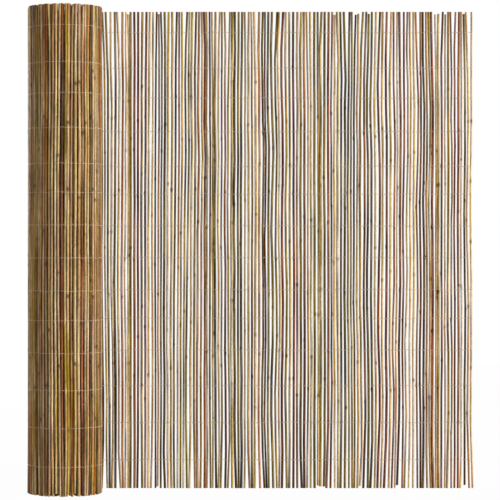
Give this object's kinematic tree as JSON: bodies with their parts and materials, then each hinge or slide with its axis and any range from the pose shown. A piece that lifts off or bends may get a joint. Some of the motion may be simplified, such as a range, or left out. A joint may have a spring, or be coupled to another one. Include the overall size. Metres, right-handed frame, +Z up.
{
  "type": "bamboo fence panel",
  "caption": "Roll-up fence panel of slim upright bamboo canes bound with rows of wire, standing part unrolled with one end still in a roll.",
  "frame": {"origin": "on the ground, at the middle of the panel's width and depth", "axes": "+X along the flat stretch from the roll to the free edge, +Y from the side the roll bulges to towards the flat back, +Z up along the canes"},
  "size_m": [1.3904, 0.237, 1.5],
  "materials": {
    "cane": "unpeeled, matt, streaked brown to tan",
    "binding_wire": "galvanised, dull"
  },
  "bodies": {
    "root": {"binding_wire_01_back": "binding_wire", "binding_wire_01_front": "binding_wire", "binding_wire_02_back": "binding_wire", "binding_wire_02_front": "binding_wire", "binding_wire_03_back": "binding_wire", "binding_wire_03_front": "binding_wire", "binding_wire_04_back": "binding_wire", "binding_wire_04_front": "binding_wire", "binding_wire_05_back": "binding_wire", "binding_wire_05_front": "binding_wire", "binding_wire_06_back": "binding_wire", "binding_wire_06_front": "binding_wire", "binding_wire_07_back": "binding_wire", "binding_wire_07_front": "binding_wire", "binding_wire_08_back": "binding_wire", "binding_wire_08_front": "binding_wire", "binding_wire_09_back": "binding_wire", "binding_wire_09_front": "binding_wire", "binding_wire_10_back": "binding_wire", "binding_wire_10_front": "binding_wire", "binding_wire_11_back": "binding_wire", "binding_wire_11_front": "binding_wire", "binding_wire_12_back": "binding_wire", "binding_wire_12_front": "binding_wire", "binding_wire_13_back": "binding_wire", "binding_wire_13_front": "binding_wire", "binding_wire_14_back": "binding_wire", "binding_wire_14_front": "binding_wire", "rolled_mat": "cane", "unrolled_mat": "cane"}
  },
  "joints": []
}
